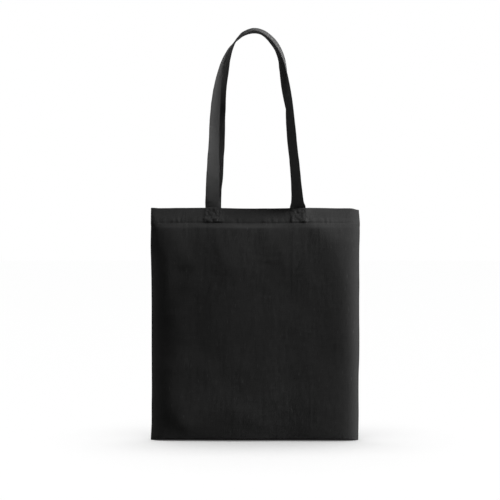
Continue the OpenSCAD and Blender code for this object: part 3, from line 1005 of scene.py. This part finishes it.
def named_direction(tree, name):
    return add_node(tree, "GeometryNodeInputNamedAttribute", {"Name": name},
                    data_type="FLOAT_VECTOR").outputs["Attribute"]


def thread_tree(name, sizes):
    """An empty tree that makes thread of the given sizes on points."""
    inputs = {"Geometry": "Geometry", **sizes, "Seed": 1, "Material": "Material"}
    return new_tree(name, "GeometryNodeTree", inputs, ("Geometry",), "Geometry")


THREAD_TURNS = (0.03, 0.03, 0.09)  # how far each stitch or loop turns at most, as none lie alike


def place_on_points(tree, given, shape):
    """Puts the shape on every point, with X along the seam and Z out of the cloth."""
    turned = add_node(tree, "FunctionNodeAxesToRotation", {
        "Primary Axis": named_direction(tree, "out"),
        "Secondary Axis": named_direction(tree, "along")}, primary_axis="Z", secondary_axis="X")
    jitter = add_node(tree, "FunctionNodeRandomValue", {
        0: [-turn for turn in THREAD_TURNS], 1: THREAD_TURNS, "Seed": given.outputs["Seed"]},
        data_type="FLOAT_VECTOR")
    jitter = add_node(tree, "FunctionNodeEulerToRotation", {0: jitter.outputs[0]})
    turned = add_node(tree, "FunctionNodeRotateRotation",
                      {0: turned.outputs[0], 1: jitter.outputs[0]}, rotation_space="LOCAL")
    made = add_node(tree, "GeometryNodeInstanceOnPoints", {
        "Points": given.outputs["Geometry"], "Instance": shape, "Rotation": turned.outputs[0]})
    made = add_node(tree, "GeometryNodeRealizeInstances", {0: made.outputs[0]})
    made = add_node(tree, "GeometryNodeSetShadeSmooth", {"Geometry": made.outputs[0]})
    made = add_node(tree, "GeometryNodeSetMaterial", {
        "Geometry": made.outputs[0], "Material": given.outputs["Material"]})
    add_node(tree, "NodeGroupOutput", {0: made.outputs[0]})


def make_stitch_tree():
    """Lockstitches: a short arc of thread over each point, which dips into the cloth at both
    ends."""
    tree, given = thread_tree("lockstitches", {
        "Length": STITCH_LENGTH, "Radius": THREAD_D / 2, "Dip": 0.0004})
    do, dip = partial(add_math, tree), given.outputs["Dip"]
    half = do("MULTIPLY", given.outputs["Length"], 0.5)
    low = do("MULTIPLY", dip, -1.0)
    arc = add_node(tree, "GeometryNodeCurveQuadraticBezier", {
        "Resolution": 5, "Start": combine(tree, do("MULTIPLY", half, -1.0), 0, low),
        "Middle": combine(tree, 0, 0, dip), "End": combine(tree, half, 0, low)})
    place_on_points(tree, given, tube(tree, arc.outputs[0], given.outputs["Radius"], 6))
    return tree


def make_overlock_tree():
    """Overlocking: a flat loop of thread at each point, round both layers of the raw edge."""
    tree, given = thread_tree("overlock_loops", {
        "Reach": 0.0042, "Thickness": 0.0017, "Radius": 0.00018})
    loop = add_node(tree, "GeometryNodeCurvePrimitiveCircle", {"Resolution": 12, "Radius": 0.5})
    loop = add_node(tree, "GeometryNodeTransform", {
        "Geometry": loop.outputs[0], "Rotation": (pi / 2, 0, 0.35),
        "Scale": combine(tree, given.outputs["Reach"], given.outputs["Thickness"], 1)})
    place_on_points(tree, given,
                    tube(tree, loop.outputs[0], given.outputs["Radius"], 4, caps=False))
    return tree


STITCHES = make_stitch_tree()
OVERLOCK = make_overlock_tree()


def thread_piece(name, points, along, out, tree, seed, material):
    """Makes thread over the given points, and turns it into one plain mesh."""
    piece = add_piece(name, points, [])
    put_values(piece, "along", along, "FLOAT_VECTOR")
    put_values(piece, "out", out, "FLOAT_VECTOR")
    modifier = piece.modifiers.new("thread", "NODES")
    modifier.node_group = tree
    sockets = {s.name: s.identifier for s in tree.interface.items_tree if s.in_out == "INPUT"}
    modifier[sockets["Material"]] = material
    modifier[sockets["Seed"]] = seed
    as_plain_mesh(piece)
    for attribute in ("along", "out"):
        if attribute in piece.data.attributes:
            piece.data.attributes.remove(piece.data.attributes[attribute])
    return piece


def stitches(name, lines):
    """Sewing thread along lines of stitches, each with its points, ways along and ways out."""
    points, along, out = (np.concatenate(values) for values in zip(*lines))
    return thread_piece(name, points, along, out, STITCHES, 1, sewing_thread)


def on_panel(side, x, z, depth, relief):
    """Settled points on a panel at a depth below its outer face, with or without the strap ends'
    relief, and the ways out of the cloth, across it and up it there."""
    def at(px, pz):
        y = outer_y(px, pz, hem_edge(pz)) - depth
        proud = strap_relief(side, px, pz) if relief else 0
        return settle(np.stack([px, side * y, pz], -1), side, proud)

    step = 0.0008
    across = at(x + step, z) - at(x - step, z)
    up = at(x, z + step) - at(x, z - step)
    out = unit(np.cross(across, up))
    out *= np.sign(out[..., 1] * side)[..., None]
    return at(x, z), out, unit(across), unit(up)


def line_of_stitches(side, a, b, depth, inward=False):
    """Stitches over the line from a to b on a panel, at a depth below its outer face. They face
    out of the bag, or inward."""
    a, run = np.array(a), np.subtract(b, a)
    length = np.hypot(*run)
    count = int(length / STITCH_PITCH)
    x, z = a[:, None] + run[:, None] * (np.arange(count) + 0.5) / count
    points, out, across, up = on_panel(side, x, z, depth, relief=not inward)
    along = (across * run[0] + up * run[1]) / length
    return points, along, -out if inward else out


def both_faces(side, ends, depth_inside):
    """Lines of stitches as they show on a panel's outer face, and inside the bag, which is at a
    depth below it."""
    return ([line_of_stitches(side, a, b, -THREAD_LIFT) for a, b in ends]
            + [line_of_stitches(side, a, b, depth_inside, inward=True) for a, b in ends])


def box_ends(side, end):
    """The ends of the four sides and two diagonals that are sewn through a strap's end."""
    x, z = end * SPACING[side] / 2, BAG_HEIGHT - STRAP_END / 2
    b = BOX_SIZE / 2
    corners = [(x + p * b, z + q * b) for p, q in ((-1, -1), (1, -1), (1, 1), (-1, 1))]
    return [(corners[p], corners[q]) for p, q in ((0, 1), (1, 2), (2, 3), (3, 0), (0, 2), (1, 3))]


def strap_stitches(strap):
    """The two rows that close the folded strap, as they show on both its faces."""
    margin = 0.002
    run = strap.length - 2 * margin
    count = int(run / STITCH_PITCH)
    at = margin + (np.arange(count) + 0.5) * run / count
    lines = []
    for w in (STITCH_INSET - HALF_STRAP, HALF_STRAP - STITCH_INSET):
        lift = strap.half_thickness(np.full(count, w), at) + 0.00002
        for way in (1, -1):
            points, face, along = strap.place(at, w, way * lift)
            lines.append((points, along, face * way))
    return lines


hem_ends = [((-HEM_STITCH_REACH, HEM_STITCH_Z), (HEM_STITCH_REACH, HEM_STITCH_Z))]
for side, side_name in SIDES.items():
    stitches(side_name + "_hem_stitches", both_faces(side, hem_ends, 3 * LAYER))
    for end, end_name in ENDS.items():
        stitches(f"{side_name}_{end_name}_box_stitches",
                 both_faces(side, box_ends(side, end), HEM_STACK + SEWN_GAP + STRAP_T))
    stitches(side_name + "_handle_stitches", strap_stitches(strap_lines[side]))


def seam_loops(name, x, y, z, inward, seed):
    """A seam's binding thread: a loop over each place on its raw edge, which reaches inward."""
    points = np.stack([x, y, z], -1)
    return thread_piece(name + "_seam_loops", points, np.broadcast_to(inward, points.shape),
                        np.broadcast_to((0, 1, 0), points.shape), OVERLOCK, seed, overlock_thread)


# Where the loops lie on the raw edges, and how many there are
SIDE_LOOPS = {"start": 0.012, "stop": 0.4165, "num": 230}
BOTTOM_LOOPS = {"start": -0.1745, "stop": 0.1745, "num": 205}
LOOP_INSET = 0.0012
BOTTOM_LOOPS_Z = 0.0094

overlocks = {}
for end, name in ENDS.items():
    z = np.linspace(**SIDE_LOOPS)
    x = np.full_like(z, end * (SIDE_X - SEAM_ALLOWANCE + LOOP_INSET))
    overlocks[name] = seam_loops(name, x + side_drift(x, z), lean(x, z), z, (-end, 0, 0), 4 + end)
x = np.linspace(**BOTTOM_LOOPS)
z = np.full_like(x, BOTTOM_LOOPS_Z)
overlocks["bottom"] = seam_loops("bottom", x, lean(x, z), z, (0, 0, 1), 9)


# ---- What each piece moves with and stands for ----

for side, side_name in SIDES.items():
    panel, strap, handle = panels[side], straps[side], side_name + "_handle"
    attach(panel, "bag")
    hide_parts(side_name + "_panel", side_name + "_hem")
    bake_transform(strap)
    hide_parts(side_name + "_strap", side_name + "_left_strap_end",
                side_name + "_right_strap_end")
    hem_row = bpy.data.objects[side_name + "_hem_stitches"]
    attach(hem_row, "bag")
    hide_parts(side_name + "_hem_stitching")
    for end_name in ENDS.values():
        box = bpy.data.objects[f"{side_name}_{end_name}_box_stitches"]
        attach(box, "bag")
        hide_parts(f"{side_name}_{end_name}_box_stitching")
    strap_rows = bpy.data.objects[side_name + "_handle_stitches"]
    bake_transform(strap_rows)
    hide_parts(side_name + "_strap_stitching")
for name, loops in overlocks.items():
    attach(loops, "bag")
    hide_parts(name + "_seam_allowance", name + "_seam_overlock")


# ---- Floor, lamps and sky ----

FLOOR_RADIUS, FLOOR_Z = 40, -0.0001
FLOOR_SEEN, FLOOR_THROWN = 0.82, 0.16  # its grey to the camera, and to the light it throws back
FLOOR_LIFT = 0.13
SKY_LIGHT = 0.05


def make_floor():
    """A pale floor. The camera sees it at its full colour, so that it is white outside the shadow,
    and it throws only a little light back up at the bag."""
    material, tree, shader = new_material("studio_floor")
    do, path = partial(add_math, tree), tree.nodes.new("ShaderNodeLightPath").outputs
    seen = do("ADD", path["Is Glossy Ray"], path["Is Transmission Ray"])
    seen = do("MINIMUM", do("ADD", path["Is Camera Ray"], seen), 1.0)
    fill(tree, shader, {
        "Roughness": 0.9, "Specular IOR Level": 0.1,
        "Base Color": blend_colours(tree, seen, grey(FLOOR_THROWN), grey(FLOOR_SEEN))})
    glow = add_node(tree, "ShaderNodeEmission", {
        "Color": grey(1), "Strength": do("MULTIPLY", seen, FLOOR_LIFT)})
    both = add_node(tree, "ShaderNodeAddShader", {0: shader.outputs[0], 1: glow.outputs[0]})
    fill(tree, tree.nodes["Material Output"], {"Surface": both.outputs[0]})
    return material


bpy.ops.mesh.primitive_circle_add(vertices=64, radius=FLOOR_RADIUS, fill_type="NGON",
                                  location=(0, 0, FLOOR_Z))
floor = bpy.context.object
floor.name = "studio_floor"
floor.data.materials.append(make_floor())

world = bpy.data.worlds.new("studio")
scene.world = world
world.use_nodes = True
tree = world.node_tree
path = tree.nodes.new("ShaderNodeLightPath").outputs
seen = add_math(tree, "MAXIMUM", path["Is Camera Ray"], path["Is Transmission Ray"])
fill(tree, tree.nodes["Background"], {
    "Color": grey(1), "Strength": add_math(tree, "MULTIPLY_ADD", seen, 1 - SKY_LIGHT, SKY_LIGHT)})

lit_pieces = bpy.data.collections.new("lit_pieces")
for piece in scene.objects:
    if piece.type == "MESH" and piece != floor:
        lit_pieces.objects.link(piece)
lit_floor = bpy.data.collections.new("lit_floor")
lit_floor.objects.link(floor)


def add_lamp(name, toward, strength, spread, lit=lit_pieces):
    """A distant soft lamp, as wide as its spread in degrees, for the bag or for the floor."""
    data = bpy.data.lights.new(name, "SUN")
    data.energy = strength
    data.angle = radians(spread)
    lamp = add_object(name, data)
    lamp.rotation_euler = Vector(toward).to_track_quat("Z", "Y").to_euler()
    lamp.light_linking.receiver_collection = lit


add_lamp("key_lamp", toward=(0.75, -0.09, 0.42), strength=7.5, spread=20)
add_lamp("fill_lamp", toward=(-0.86, -0.02, 0.20), strength=0.45, spread=30)
add_lamp("top_lamp", toward=(0.0, -0.03, 1.0), strength=1.7, spread=26)
add_lamp("back_lamp", toward=(0.35, 0.90, 0.25), strength=1.1, spread=30)
add_lamp("floor_lamp", toward=(0.0, 0.0, 1.0), strength=3.25, spread=52, lit=lit_floor)

scene.view_settings.view_transform = "Standard"
